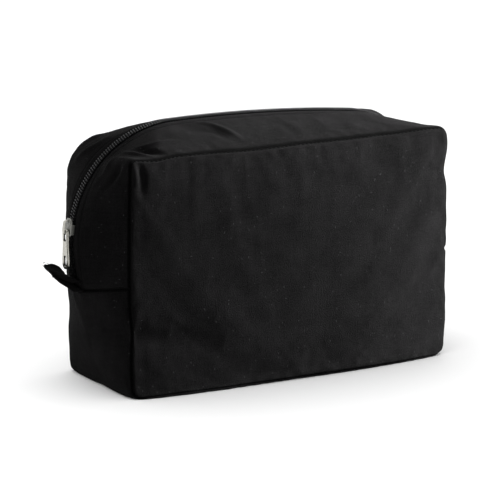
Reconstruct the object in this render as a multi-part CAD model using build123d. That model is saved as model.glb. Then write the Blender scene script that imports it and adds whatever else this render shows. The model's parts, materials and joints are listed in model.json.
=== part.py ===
"""Soft zipped toiletry bag: two domed canvas panels, a gusset round them, and a curved coil zip.

Frame: +X along the panels' width, +Y from the front panel to the back, +Z up.
The origin is the middle of the flat bottom, on the surface the bag stands on. Units are millimetres.
"""

from build123d import *
import math
import os

# ---- the bag's envelope ----
PANEL_WIDTH = 240.0
PANEL_HEIGHT = 157.0
GUSSET_DEPTH = 89.0
PANEL_BULGE = 10.0
SEAM_CORNER_RADIUS = 12.0
END_SEAM_HEIGHT = 65.0

# ---- cloth ----
CANVAS = 0.9
SEAM_ALLOWANCE = 10.0
END_ALLOWANCE = 9.0
BINDING = 0.4
BINDING_WIDTH = 5.0

# ---- the line of the zip, in the plane halfway through the bag ----
ZIP_CORNER_RADIUS = 75.0
LEFT_CENTRE = (-66.0, 96.0)
RIGHT_CENTRE = (62.3, 92.0)
TOP_RADIUS = 1000.0
ARC_START = -15.0
ARC_SPLITS = (30.0, 50.0)
BOTTOM_CORNER_X = 119.0
BOTTOM_CORNER_RADIUS = 5.0

# ---- zip chain, size 5 ----
TAPE = 0.6
TAPE_WIDTH = 14.0
COIL_BACK_Y = 3.1
COIL_GAP = 0.6
COIL_HEIGHT = 2.1
FOLD_Y = 5.0
COIL_FOOT = 4.0

# ---- slider and puller ----
SLIDER_ANGLE = 8.8
SLIDER_LENGTH = 11.2
SLIDER_WIDTH = 8.8
NOSE_WIDTH = 5.2
PLATE = 1.0
TOP_PLATE_W = 1.55
BOTTOM_PLATE_W = -3.1
FLANGE = 0.9
FLANGE_FOOT_W = -0.4
POST = 0.6
CROWN_WIDTH = 2.8
CROWN_TOP_W = 5.7
TUNNEL_TOP_W = 4.95
AXIS_U = -2.2
AXIS_W = 3.9
PULLER_LENGTH = 25.2
PULLER_THICKNESS = 1.4
PULLER_HEAD_WIDTH = 5.6
PULLER_FOOT_WIDTH = 6.8
PULLER_PIN_RADIUS = 0.75
CROWN_SLOT = (7.2, 3.4)
FINGER_SLOT = (6.4, 3.8)
FINGER_SLOT_REACH = 20.3

# ---- the tab at the zip's left end ----
TAB_WIDTH = 18.0
TAB_LENGTH = 29.5
TAB_ANGLE = 36.0
TAB_PIVOT = (-137.4, 65.6)
TAB_ROOT_THICKNESS = 2.0

HALF_W = PANEL_WIDTH / 2
SEAM_Y = GUSSET_DEPTH / 2
WALL_Y = SEAM_Y - 2 * CANVAS
BIG = 600.0


def on_circle(centre, radius, degrees, side):
    """Point of a corner circle, at an angle above the horizontal, on the left (-1) or right (+1)."""
    turn = math.radians(degrees)
    return (centre[0] + side * radius * math.cos(turn), centre[1] + radius * math.sin(turn))


def arc_on(centre, radius, start, end, side):
    """Arc of a corner circle between two angles above the horizontal."""
    mid = on_circle(centre, radius, (start + end) / 2, side)
    return ThreePointArc(on_circle(centre, radius, start, side), mid, on_circle(centre, radius, end, side))


def top_circle():
    """Centre of the large arc that is tangent to both corner circles, and its tangent angles on each side."""
    (x0, z0), (x1, z1) = LEFT_CENTRE, RIGHT_CENTRE
    span = math.dist(LEFT_CENTRE, RIGHT_CENTRE)
    along = ((x1 - x0) / span, (z1 - z0) / span)
    reach = TOP_RADIUS - ZIP_CORNER_RADIUS
    drop = math.sqrt(reach**2 - (span / 2) ** 2)
    centre = ((x0 + x1) / 2 + along[1] * drop, (z0 + z1) / 2 - along[0] * drop)
    left = math.degrees(math.atan2(z0 - centre[1], -(x0 - centre[0])))
    right = math.degrees(math.atan2(z1 - centre[1], x1 - centre[0]))
    return centre, left, right


TOP_CENTRE, LEFT_TANGENT, RIGHT_TANGENT = top_circle()


def side_of_zip(centre, tangent, inset, side):
    """One end of the zip line from the bottom middle of the bag up to the top arc, as edges in order."""
    radius = ZIP_CORNER_RADIUS - inset
    first = on_circle(centre, radius, ARC_START, side)
    lean = math.tan(math.radians(-ARC_START))
    seam = (first[0] - side * lean * (first[1] - END_SEAM_HEIGHT), END_SEAM_HEIGHT)
    corner = BOTTOM_CORNER_RADIUS
    foot = (side * (BOTTOM_CORNER_X - inset), inset + corner)
    sole = (side * (BOTTOM_CORNER_X - inset - corner), inset)
    diagonal = corner * (1 - math.sqrt(0.5))
    turn = (side * (BOTTOM_CORNER_X - inset - diagonal), inset + diagonal)
    angles = (ARC_START, *ARC_SPLITS, tangent)
    return [
        Line((0, inset), sole),
        ThreePointArc(sole, turn, foot),
        Line(foot, seam),
        Line(seam, first),
        *[arc_on(centre, radius, a, b, side) for a, b in zip(angles, angles[1:])],
    ]


def zip_outline(inset=0.0):
    """Closed outline halfway through the bag: flat bottom, leaning ends, and the line that the zip follows."""
    right = side_of_zip(RIGHT_CENTRE, RIGHT_TANGENT, inset, 1)
    left = side_of_zip(LEFT_CENTRE, LEFT_TANGENT, inset, -1)
    crest = (TOP_CENTRE[0], TOP_CENTRE[1] + TOP_RADIUS - inset)
    top = ThreePointArc(right[-1] @ 1, crest, left[-1] @ 1)
    return Wire([*right, top, *left])


def side_of_seam(inset, side):
    """One end of the seam line, with an edge for each edge of the zip outline."""
    radius = max(SEAM_CORNER_RADIUS - inset, 1.5)
    x, low, high = side * (HALF_W - inset), inset, PANEL_HEIGHT - inset
    diagonal = radius * (1 - math.sqrt(0.5))
    turn_x = x - side * diagonal
    centre = LEFT_CENTRE if side < 0 else RIGHT_CENTRE
    arc_height = on_circle(centre, ZIP_CORNER_RADIUS, ARC_START, side)[1]
    bottom = (x - side * radius, low)
    top = (x - side * radius, high)
    return [
        Line((0, low), bottom),
        ThreePointArc(bottom, (turn_x, low + diagonal), (x, low + radius)),
        Line((x, low + radius), (x, END_SEAM_HEIGHT)),
        Line((x, END_SEAM_HEIGHT), (x, arc_height)),
        Line((x, arc_height), (x, high - radius)),
        ThreePointArc((x, high - radius), (turn_x, high - diagonal), top),
        Line(top, (centre[0], high)),
    ]


def seam_outline(inset=0.0):
    """Closed outline of a panel: a rounded rectangle, drawn inset from the seam line."""
    right = side_of_seam(inset, 1)
    left = side_of_seam(inset, -1)
    return Wire([*right, Line(right[-1] @ 1, left[-1] @ 1), *left])


def at_y(shape, y):
    """Stands a flat outline or face up in the plane at that y."""
    return Plane.XZ.offset(-y) * shape


def prism(outline, y0, y1):
    """Solid of a flat outline between two y planes."""
    return extrude(at_y(Face(outline), max(y0, y1)), amount=abs(y1 - y0))


def ring(outer, inner, y0, y1):
    return prism(outer, y0, y1) - prism(inner, y0, y1)


def slope(inset, y_seam, y_zip):
    """Solid that runs from the seam outline in one y plane to the zip outline in another."""
    return Solid.make_loft([at_y(seam_outline(inset), y_seam), at_y(zip_outline(inset), y_zip)], True)


def band(outer_inset, inner_inset, y_seam, y_zip):
    """Sheet between two insets of the slope."""
    return slope(outer_inset, y_seam, y_zip) - slope(inner_inset, y_seam, y_zip)


def above(z):
    return Pos(0, 0, z + BIG / 2) * Box(BIG, BIG, BIG)


def below(z):
    return Pos(0, 0, z - BIG / 2) * Box(BIG, BIG, BIG)


def slab(y0, y1):
    return Pos(0, (y0 + y1) / 2, 0) * Box(BIG, abs(y1 - y0), BIG)


# ---- panels ----


def dome(side, shift, rim_inset):
    """Solid of a panel's bulge, from the seam plane outwards in flat-sided steps."""
    steps = ((rim_inset, 0.0), (10.0, 0.45), (28.0, 0.8), (60.0, 1.0))
    wires = [
        at_y(seam_outline(inset), side * (SEAM_Y + PANEL_BULGE * share - (shift if share else 0)))
        for inset, share in steps
    ]
    return Solid.make_loft(wires, True)


def panel(side):
    """Domed cloth panel with its seam allowance turned inwards."""
    rim = CANVAS * 1.1 / 0.45
    shell = dome(side, 0.0, 0.0) - dome(side, CANVAS * 1.1, rim)
    allowance = ring(
        seam_outline(), seam_outline(SEAM_ALLOWANCE), side * (SEAM_Y - CANVAS), side * SEAM_Y
    )
    return shell + allowance


# ---- gusset ----


def gusset_flange(side):
    """Seam allowance of the gusset, against the panel's."""
    y0, y1 = side * WALL_Y, side * (SEAM_Y - CANVAS)
    return ring(seam_outline(), seam_outline(SEAM_ALLOWANCE), y0, y1)


def end_layer(end, outer, inner, low, high):
    """Level layer inside an end of the bag, between two insets from its outside and two heights."""
    depth = 2 * (WALL_Y - SEAM_ALLOWANCE)
    reach = Pos(end * BIG / 2, 0, (low + high) / 2) * Box(BIG, depth, high - low)
    front, back = (band(outer, inner, side * WALL_Y, 0.0) & reach for side in (-1, 1))
    return front + back


def end_flange(end, low):
    """Allowance along an end seam, turned into the bag from the wall's inner face."""
    return end_layer(end, CANVAS / 2, END_ALLOWANCE, low, low + CANVAS)


def tab_notch():
    """Space in the end seam that the tab's root fills."""
    x_mid = TAB_PIVOT[0] + 1.8 + SEAM_ALLOWANCE / 2
    return Pos(x_mid, 0, END_SEAM_HEIGHT) * Box(SEAM_ALLOWANCE, TAB_WIDTH, TAB_ROOT_THICKNESS)


def zip_strip(side):
    """Cloth strip between a panel and the zip, over the top and down to both end seams."""
    wall = band(0.0, CANVAS, side * WALL_Y, side * FOLD_Y) & above(END_SEAM_HEIGHT)
    strip = wall + (gusset_flange(side) & above(END_SEAM_HEIGHT))
    inside = slope(CANVAS / 2, side * WALL_Y, side * FOLD_Y)
    for end in (-1, 1):
        flange = end_layer(end, -2 * CANVAS, END_ALLOWANCE, END_SEAM_HEIGHT, END_SEAM_HEIGHT + CANVAS)
        strip += flange & inside
    return strip - tab_notch()


def lower_gusset():
    """One strip for the bottom and the lower half of both ends."""
    whole = None
    for side in (-1, 1):
        half = band(0.0, CANVAS, side * WALL_Y, 0.0) + gusset_flange(side)
        whole = half if whole is None else whole + half
    whole = whole & below(END_SEAM_HEIGHT)
    for end in (-1, 1):
        whole += end_flange(end, END_SEAM_HEIGHT - CANVAS)
    return whole - tab_notch()


# ---- bindings over the raw edges inside ----


def seam_binding(side):
    """Tape folded over the panel's and gusset's allowances, all the way round the seam."""
    outer, inner = SEAM_ALLOWANCE - BINDING_WIDTH, SEAM_ALLOWANCE + BINDING
    sleeve = ring(
        seam_outline(outer), seam_outline(inner), side * (WALL_Y - BINDING), side * (SEAM_Y + BINDING)
    )
    filling = ring(seam_outline(outer), seam_outline(SEAM_ALLOWANCE), side * WALL_Y, side * SEAM_Y)
    return sleeve - filling


def end_binding(end):
    """Tape folded over the allowances of an end seam."""
    outer, inner = END_ALLOWANCE - BINDING_WIDTH, END_ALLOWANCE + BINDING
    half_height = CANVAS + BINDING
    sleeve = end_layer(end, outer, inner, END_SEAM_HEIGHT - half_height, END_SEAM_HEIGHT + half_height)
    filling = end_layer(end, outer, END_ALLOWANCE, END_SEAM_HEIGHT - CANVAS, END_SEAM_HEIGHT + CANVAS)
    return sleeve - filling - tab_notch()


# ---- zip ----


def zip_tape(side):
    """Woven tape: flat beside the coil, then sloping under the cloth strip."""
    flat = ring(zip_outline(CANVAS), zip_outline(CANVAS + TAPE), side * COIL_GAP, side * FOLD_Y)
    under = band(CANVAS, CANVAS + TAPE, side * WALL_Y, side * FOLD_Y) & slab(
        side * FOLD_Y, side * TAPE_WIDTH
    )
    return (flat + under) & above(END_SEAM_HEIGHT + TAB_ROOT_THICKNESS / 2)


def zip_coil(side):
    """Envelope of one side's nylon coil."""
    coil = ring(
        zip_outline(CANVAS - COIL_HEIGHT), zip_outline(CANVAS), side * COIL_GAP, side * COIL_BACK_Y
    )
    return coil & above(END_SEAM_HEIGHT + COIL_FOOT)


# ---- slider: u runs up the zip, w points out of the bag ----


def slider_plane():
    """Frame on the zip line at the slider: local x is u, local y is +Y, local z is w."""
    x, z = on_circle(LEFT_CENTRE, ZIP_CORNER_RADIUS, SLIDER_ANGLE, -1)
    turn = math.radians(SLIDER_ANGLE)
    return Plane(
        origin=(x, 0, z),
        x_dir=(math.sin(turn), 0, math.cos(turn)),
        z_dir=(-math.cos(turn), 0, math.sin(turn)),
    )


def shield(width, nose):
    """Outline of a slider plate: square heel, tapered nose."""
    half = SLIDER_LENGTH / 2
    points = [
        (-half, -width / 2),
        (half * 0.4, -width / 2),
        (half, -nose / 2),
        (half, nose / 2),
        (half * 0.4, width / 2),
        (-half, width / 2),
    ]
    outline = Polygon(*points, align=None)
    return fillet(outline.vertices(), 0.9)


def slider_body():
    """Two plates joined by a post, with flanges that leave a slot for the tapes."""
    plate = shield(SLIDER_WIDTH, NOSE_WIDTH)
    top = Pos(0, 0, TOP_PLATE_W) * extrude(plate, PLATE)
    bottom = Pos(0, 0, BOTTOM_PLATE_W) * extrude(plate, PLATE)
    top = fillet(top.faces().sort_by(Axis.Z)[-1].edges(), 0.4)
    bottom = fillet(bottom.faces().sort_by(Axis.Z)[0].edges(), 0.4)
    drop = TOP_PLATE_W - FLANGE_FOOT_W
    length = SLIDER_LENGTH * 0.6
    body = top + bottom
    for side in (-1, 1):
        y = side * (SLIDER_WIDTH - FLANGE) / 2
        u = -SLIDER_LENGTH / 2 + 0.9 + length / 2
        body += Pos(u, y, TOP_PLATE_W - drop / 2) * Box(length, FLANGE, drop)
    post_low = BOTTOM_PLATE_W + PLATE
    post = Box(2.8, POST, TOP_PLATE_W - post_low)
    body += Pos(-SLIDER_LENGTH / 2 + 2.3, 0, (TOP_PLATE_W + post_low) / 2) * post
    pawl_hole = Pos(3.0, 0, TOP_PLATE_W + PLATE / 2) * Box(1.0, 1.2, 3 * PLATE)
    return slider_plane() * (body - pawl_hole)


def crown_profile():
    """Side view of the crown: a low arch with one long tunnel for the puller's pin."""
    foot, top = TOP_PLATE_W + PLATE, CROWN_TOP_W
    outline = [
        Line((-4.6, foot), (-4.6, top - 1.5)),
        ThreePointArc((-4.6, top - 1.5), (-4.15, top - 0.45), (-3.0, top)),
        Line((-3.0, top), (2.8, top)),
        ThreePointArc((2.8, top), (3.95, top - 0.5), (4.4, top - 1.7)),
        Line((4.4, top - 1.7), (4.4, foot)),
        Line((4.4, foot), (-4.6, foot)),
    ]
    middle, height = (foot + TUNNEL_TOP_W) / 2, TUNNEL_TOP_W - foot
    tunnel = Pos(-0.85, middle) * Rectangle(4.9, height)
    pocket = Pos(2.9, middle) * Rectangle(1.0, height)
    return Face(Wire(outline)) - tunnel - pocket


def across(profile, width):
    """Solid of a side view, as wide as given, centred on the zip line."""
    return extrude(Plane.XZ * profile, amount=width / 2, both=True)


def slider_crown():
    return slider_plane() * across(crown_profile(), CROWN_WIDTH)


def slider_lock_spring():
    """Sprung pawl in the crown's pocket, reaching through the top plate to the coil."""
    top = TUNNEL_TOP_W - 0.15
    foot = TOP_PLATE_W + 0.15
    leg = Pos(2.9, (top + foot) / 2) * Rectangle(0.4, top - foot)
    head = Pos(2.9, top - 0.2) * Rectangle(0.8, 0.4)
    return slider_plane() * across(leg + head, 1.0)


# ---- puller, hanging down the zip from the crown ----


def puller_pivot():
    """Middle of the puller's pin in the crown's tunnel."""
    return slider_plane().from_local_coords((AXIS_U, 0, AXIS_W))


def puller():
    """Flat tapered puller hung straight down from its pin: one slot clears the crown, one takes a cord."""
    head, foot, end = PULLER_HEAD_WIDTH / 2, PULLER_FOOT_WIDTH / 2, PULLER_LENGTH
    neck, heel = 8.5, end - foot
    outline = [
        Line((0, head), (0, -head)),
        Line((0, -head), (neck, -head)),
        Spline((neck, -head), (heel, -foot), tangents=((1, 0), (1, 0))),
        ThreePointArc((heel, -foot), (end, 0), (heel, foot)),
        Spline((heel, foot), (neck, head), tangents=((-1, 0), (-1, 0))),
        Line((neck, head), (0, head)),
    ]
    plate = extrude(Face(Wire(outline)), PULLER_THICKNESS / 2, both=True)
    length, width = CROWN_SLOT
    crown_slot = Pos(length / 2, 0, 0) * Box(length, width, 2 * PULLER_THICKNESS)
    finger_slot = extrude(SlotOverall(*FINGER_SLOT), PULLER_THICKNESS, both=True)
    pin = Rot(90, 0, 0) * Cylinder(PULLER_PIN_RADIUS, PULLER_HEAD_WIDTH)
    plate = plate - crown_slot - Pos(FINGER_SLOT_REACH, 0, 0) * finger_slot + pin
    return Pos(puller_pivot()) * Rot(0, 90, 0) * plate


# ---- tab ----


def tab_leaf():
    """Side view of the folded loop, from its pivot to its tip."""
    thick, end, root = 2.5, TAB_LENGTH, 1.4
    leaf = Wire(
        [
            ThreePointArc((0, root), (-root, 0), (0, -root)),
            ThreePointArc((0, -root), (0.52 * end, -thick), (end - 2.0, -1.6)),
            ThreePointArc((end - 2.0, -1.6), (end, 0), (end - 2.0, 1.6)),
            ThreePointArc((end - 2.0, 1.6), (0.52 * end, thick), (0, root)),
        ]
    )
    slit = Wire(
        [
            ThreePointArc((7, 0), (0.55 * end, -0.9), (end - 3.5, 0)),
            ThreePointArc((end - 3.5, 0), (0.55 * end, 0.9), (7, 0)),
        ]
    )
    return Face(leaf) - Face(slit)


def pull_tab():
    """Folded cloth loop that a hand holds while the zip is pulled."""
    x, z = TAB_PIVOT
    leaf = tab_leaf()
    return across(Pos(x, z) * Rot(0, 0, 180 - TAB_ANGLE) * leaf, TAB_WIDTH)


def pull_tab_root():
    """The loop's cut ends, sewn into the end seam."""
    return tab_notch()


PIECES = {
    "front_panel": lambda: panel(-1),
    "back_panel": lambda: panel(1),
    "zip_strip_front": lambda: zip_strip(-1),
    "zip_strip_back": lambda: zip_strip(1),
    "lower_gusset": lower_gusset,
    "seam_binding_front": lambda: seam_binding(-1),
    "seam_binding_back": lambda: seam_binding(1),
    "end_binding_left": lambda: end_binding(-1),
    "end_binding_right": lambda: end_binding(1),
    "zip_tape_front": lambda: zip_tape(-1),
    "zip_tape_back": lambda: zip_tape(1),
    "zip_coil_front": lambda: zip_coil(-1),
    "zip_coil_back": lambda: zip_coil(1),
    "slider_body": slider_body,
    "slider_crown": slider_crown,
    "slider_lock_spring": slider_lock_spring,
    "puller": puller,
    "pull_tab_root": pull_tab_root,
    "pull_tab": pull_tab,
}


def main():
    os.makedirs("parts", exist_ok=True)
    for name, make in PIECES.items():
        export_step(make(), f"parts/{name}.step")


main()
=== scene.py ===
"""Looks of the soft shaving kit bag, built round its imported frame.

Shapes are worked out in millimetres, in the frame's axes, and turned into metres when a mesh is made.
"""

import json
import math

import bmesh
import bpy
import numpy as np
from mathutils import Matrix, Vector


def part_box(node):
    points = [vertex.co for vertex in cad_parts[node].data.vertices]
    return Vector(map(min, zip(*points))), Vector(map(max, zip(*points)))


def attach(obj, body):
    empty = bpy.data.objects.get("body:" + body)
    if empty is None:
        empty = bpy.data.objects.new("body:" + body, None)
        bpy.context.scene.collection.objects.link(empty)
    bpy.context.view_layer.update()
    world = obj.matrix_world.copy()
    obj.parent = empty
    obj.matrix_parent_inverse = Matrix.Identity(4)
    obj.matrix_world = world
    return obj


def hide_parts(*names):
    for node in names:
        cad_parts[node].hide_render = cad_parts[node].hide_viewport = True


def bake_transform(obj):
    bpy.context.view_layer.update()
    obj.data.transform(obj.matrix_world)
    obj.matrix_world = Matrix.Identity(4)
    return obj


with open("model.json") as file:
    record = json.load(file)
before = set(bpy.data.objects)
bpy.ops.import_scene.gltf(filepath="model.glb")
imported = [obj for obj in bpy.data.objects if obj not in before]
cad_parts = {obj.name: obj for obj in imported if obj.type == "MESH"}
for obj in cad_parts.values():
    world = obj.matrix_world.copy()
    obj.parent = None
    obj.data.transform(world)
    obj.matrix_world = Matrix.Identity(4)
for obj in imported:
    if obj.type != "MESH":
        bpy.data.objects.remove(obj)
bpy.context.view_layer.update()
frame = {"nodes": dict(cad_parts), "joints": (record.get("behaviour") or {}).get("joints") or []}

MM = 0.001

# ---- sizes taken from the frame ----
panel_low, panel_high = (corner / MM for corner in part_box("front_panel"))
puller_foot_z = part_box("puller")[0].z / MM
joints = {joint["name"]: joint for joint in frame["joints"]}

HALF_W = panel_high.x
HEIGHT = panel_high.z
SEAM_Y = 44.5
PANEL_BULGE = -panel_low.y - SEAM_Y
PULLER_PIVOT = [value / MM for value in joints["puller_swing"]["pos_m"]]
LEFT_CENTRE = tuple(joints["slider_travel"]["pos_m"][axis] / MM for axis in (0, 2))

# ---- the zip's line, halfway through the bag ----
RIGHT_CENTRE = (62.3, 92.0)
CORNER_RADIUS = 75.0
TOP_RADIUS = 1000.0
ARC_START = math.radians(-15.0)
END_SEAM_Z = 66.5
END_SEAM_Z_AT_PANEL = 73.5
FOOT_SPREAD = 1.7
FOOT_SPREAD_BELOW = 86.0

# ---- zip section: y across the zip, w outwards from its line ----
PITCH = 1.9
FOLD_Y = 5.45
FOLD_RADIUS = 0.43
TAPE_W = -0.9
TAPE_EDGE_Y = 6.2
WIRE_RADIUS = 0.4
COIL_HEAD_Y = 0.03
COIL_BACK_Y = 3.1
COIL_MIDDLE_W = 0.14
COIL_LEAN = (0.3, 0.2, 0.93)
COIL_RISE = 0.7
# The coil's painted highlight shows only above this height, so none is painted below the slider.
PAINTED_HIGHLIGHT_ABOVE_Z = 98.0
COIL_FOOT_Z = 70.5
TAPE_FOOT_Z = 67.7
TOPSTITCH_REACH = 4.6
SEAM_STITCH = (2.3, 3.1)
TOP_STITCH = (2.1, 2.7)

# ---- slider ----
SLIDER_ANGLE = math.radians(8.8)

# ---- cloth ----
CLOTH = 0.45
STRIP_CLOTH = 0.36
TAPE_CLOTH = 0.45
SPACING = 1.05
GROOVE_DEPTH = 2.2
GROOVE_WIDTH = 0.95
BOTTOM_BOW = 8.5
LIP = 3.4
LIP_REACH = 10.0
LIP_DROP = 3.2
BAG_MIDDLE = (0.0, 0.0, HEIGHT / 2)
SEAM_REACH = 9.0  # over which the way out of a seam is smoothed
HELD_REACH = 2.6  # beside a seam, where the seam holds the cloth still
FLOOR_GAP = 0.05


# =============================================================== lines


def unit(vectors):
    return vectors / np.linalg.norm(vectors, axis=-1, keepdims=True)


def running_lengths(points):
    """How far along a line of points each of them lies."""
    return np.concatenate([[0.0], np.cumsum(np.linalg.norm(np.diff(points, axis=0), axis=1))])


def read_line(where, places, values):
    """Values where asked, from the values given at places along a line."""
    return np.stack([np.interp(where, places, column) for column in values.T], -1)


def bump(value, middle, width):
    return np.exp(-(((value - middle) / width) ** 2))


def smoothstep(value):
    return value * value * (3 - 2 * value)


def signed_power(value, power):
    """A value from -1 to 1 pushed outwards by a power under 1, with its sign kept."""
    return np.sign(value) * np.abs(value) ** power


def round_trip(there, back):
    """Values along one line, then back along another that ends where the first one ends."""
    return np.concatenate([there, back[::-1][1:]])


class Path:
    """A line in the XZ plane, followed by the share of its length."""

    def __init__(self, points):
        self.points = np.asarray(points, float)
        self.lengths = running_lengths(self.points)
        self.length = self.lengths[-1]
        self.shares = self.lengths / self.length

    def at(self, share):
        return read_line(np.clip(share, 0.0, 1.0), self.shares, self.points)

    def normal(self, share, reach=1.2):
        """Unit normals on the left of the direction of travel, smoothed over a short reach."""
        step = reach / self.length
        along = unit(self.at(np.clip(share + step, 0, 1)) - self.at(np.clip(share - step, 0, 1)))
        return np.stack([-along[..., 1], along[..., 0]], -1)


def arc(centre, radius, start, end, count=200):
    angles = np.linspace(start, end, count)
    return np.stack([centre[0] + radius * np.cos(angles), centre[1] + radius * np.sin(angles)], -1)


def zip_line():
    """The zip from its left end over the top to its right end."""
    (x0, z0), (x1, z1) = LEFT_CENTRE, RIGHT_CENTRE
    span = math.dist(LEFT_CENTRE, RIGHT_CENTRE)
    drop = math.sqrt((TOP_RADIUS - CORNER_RADIUS) ** 2 - (span / 2) ** 2)
    along = ((x1 - x0) / span, (z1 - z0) / span)
    centre = ((x0 + x1) / 2 + along[1] * drop, (z0 + z1) / 2 - along[0] * drop)
    left = math.atan2(z0 - centre[1], x0 - centre[0])
    right = math.atan2(z1 - centre[1], x1 - centre[0])
    parts = [
        arc(LEFT_CENTRE, CORNER_RADIUS, math.pi - ARC_START, left),
        arc(centre, TOP_RADIUS, left, right)[1:],
        arc(RIGHT_CENTRE, CORNER_RADIUS, right, ARC_START)[1:],
    ]
    points = np.concatenate(parts)
    lean = math.tan(-ARC_START)
    ends = []
    for point, side in ((points[0], 1), (points[-1], -1)):
        ends.append((point[0] + side * lean * (point[1] - END_SEAM_Z), END_SEAM_Z))
    line = np.array([ends[0], *points, ends[1]])
    low = np.clip((FOOT_SPREAD_BELOW - line[:, 1]) / (FOOT_SPREAD_BELOW - END_SEAM_Z), 0, 1)
    line[:, 0] -= FOOT_SPREAD * np.where(line[:, 0] < 0, smoothstep(low), 0)
    return Path(line)


ZIP = zip_line()


def spaced(length, first, last):
    """Shares along a length: given distances from its start and its end, and even steps between."""
    count = max(int((length - first[-1] - last[-1]) / SPACING), 2)
    middle = np.linspace(first[-1], length - last[-1], count + 1)[1:-1]
    return np.concatenate([first, middle, length - np.asarray(last)[::-1]]) / length


# Distances from a seam at which the cloth that rolls into it is sampled.
ROLL = (0, 0.3, 0.62, 0.98, 1.4, 1.95, 2.65, 3.5)
AT_FOLD = (0, 0.5, 1.1, 1.8, 2.5, 3.1, 3.6, 4.0, 4.35, 4.7, 5.1, 5.6, 6.3)
ACROSS = spaced(2 * HALF_W, ROLL, ROLL)
UP = spaced(HEIGHT, ROLL, ROLL)
END_ROW = int(np.argmin(np.abs(UP - END_SEAM_Z_AT_PANEL / HEIGHT)))

# How round each corner of each panel's seam lies once the bag is stuffed.
CORNER_RADII = {
    -1: {"bottom_left": 7.0, "top_left": 5.0, "top_right": 6.0, "bottom_right": 9.5},
    1: {"bottom_left": 9.0, "top_left": 22.0, "top_right": 10.0, "bottom_right": 10.0},
}
CORNERS = {
    "bottom_left": (-HALF_W, 0),
    "top_left": (-HALF_W, HEIGHT),
    "top_right": (HALF_W, HEIGHT),
    "bottom_right": (HALF_W, 0),
}


def stray(points, side):
    """The sewn edge of a panel, moved from its pattern line to where the stuffed bag holds it."""
    x, z = points[:, 0], points[:, 1]
    up = np.clip(z / HEIGHT, 0, 1)
    left = (-1.6 * np.sin(np.pi * up) + 1.2 * bump(z, 44, 11)) * (x < 0)
    right = (0.2 - 2.3 * bump(z, 128, 8) + 0.7 * bump(z, 146, 9) + 1.1 * bump(z, 28, 14)) * (x > 0)
    near_side = np.clip((np.abs(x) - HALF_W + 14) / 10, 0, 1)
    top = -0.6 - 0.9 * bump(x, -30, 25) + 0.5 * bump(x, 70, 20) + 1.5 * bump(x, 104, 18)
    if side > 0:
        left = left - 0.8 + 1.2 * np.clip((z - 75) / 30, 0, 1)
        top = top + 1.2 * bump(x, -85, 22)
    else:
        top = top - 1.6 * bump(x, -103, 11)
    bottom = 1.2 - 0.6 * bump(x, 80, 40) - 1.0 * bump(np.abs(x), HALF_W, 16)
    dz = np.where(z > HEIGHT / 2, top, bottom) * np.clip(np.abs(up - 0.5) * 8 - 3, 0, 1)
    return np.stack([x + (left + right) * near_side, z + dz], -1)


def crown(share, flat, edge):
    """From 0 at both ends to 1 between them, flat in the middle."""
    return (1 - np.abs(2 * np.clip(share, 0, 1) - 1) ** flat) ** edge


def seam_bow(p):
    """How far the bottom seam stands out past the plane of the other seams, at shares across the panel."""
    return BOTTOM_BOW * crown(p, 3.2, 0.62)


class PanelOutline:
    """The seam round one panel: its four sides, and its halves above and below the end seams."""

    def __init__(self, side):
        self.side = side
        self.left = self.between("bottom_left", "top_left", (1, 0))
        self.top = self.between("top_left", "top_right", (0, -1))
        self.right = self.between("bottom_right", "top_right", (-1, 0))
        self.bottom = self.between("bottom_left", "bottom_right", (0, 1))
        left, right = self.left.at(UP), self.right.at(UP)
        top, bottom = self.top.at(ACROSS), self.bottom.at(ACROSS)
        self.upper = Path(np.concatenate([left[END_ROW:], top[1:], right[END_ROW:-1][::-1]]))
        self.lower = Path(np.concatenate([left[: END_ROW + 1][::-1], bottom[1:], right[1 : END_ROW + 1]]))
        walls = np.zeros(END_ROW)
        self.lower_bow = np.concatenate([walls, seam_bow(ACROSS), walls])
        upper_out = self.upper.normal(self.upper.shares, SEAM_REACH)
        lower_out = -self.lower.normal(self.lower.shares, SEAM_REACH)
        self.loop = round_trip(self.upper.points, self.lower.points)
        self.loop_out = round_trip(upper_out, lower_out)
        self.loop_bow = round_trip(np.zeros(len(self.upper.points)), self.lower_bow)

    def between(self, first_corner, last_corner, inward):
        """One side, from the middle of one corner's arc to the middle of the next."""
        corners_and_way = (CORNERS[first_corner], CORNERS[last_corner], inward)
        start, end, inward = (np.asarray(value, float) for value in corners_and_way)
        radii = CORNER_RADII[self.side]
        start_radius, end_radius = radii[first_corner], radii[last_corner]
        along = unit(end - start)
        turn = np.linspace(math.pi / 4, 0, 16)[:, None]
        first = start + along * start_radius + inward * start_radius
        last = end - along * end_radius + inward * end_radius
        head = first - start_radius * (inward * np.cos(turn) + along * np.sin(turn))
        tail = last - end_radius * (inward * np.cos(turn[::-1]) - along * np.sin(turn[::-1]))
        middle = np.linspace(head[-1], tail[0], 160)[1:-1]
        return Path(stray(np.concatenate([head, middle, tail]), self.side))


OUTLINES = {side: PanelOutline(side) for side in (-1, 1)}
SIDES = ((-1, "front"), (1, "back"))


def sole_line():
    """The middle of the lower gusset, from the left end seam under the bag to the right end seam."""
    points = []
    for end, side, corner, bow in ((ZIP.points[0], -1, 3.0, 0.4), (ZIP.points[-1], 1, 9.0, 1.6)):
        foot = np.array([side * (HALF_W + 2.2), corner])
        lift = np.linspace(0, 1, 60)[:, None]
        wall = end + (foot - end) * lift + np.array([[side * bow, 0]]) * np.sin(np.pi * lift)
        turn = np.linspace(0, math.pi / 2, 24)[1:, None]
        centre = foot - np.array([side * corner, 0])
        floor = centre + corner * np.concatenate([side * np.cos(turn), -np.sin(turn)], 1)
        points.append(np.concatenate([wall, floor]))
    flat = np.linspace(points[0][-1], points[1][-1], 80)[1:-1]
    return Path(np.concatenate([points[0], flat, points[1][::-1]]))


SOLE = sole_line()


# =============================================================== soft surfaces


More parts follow.
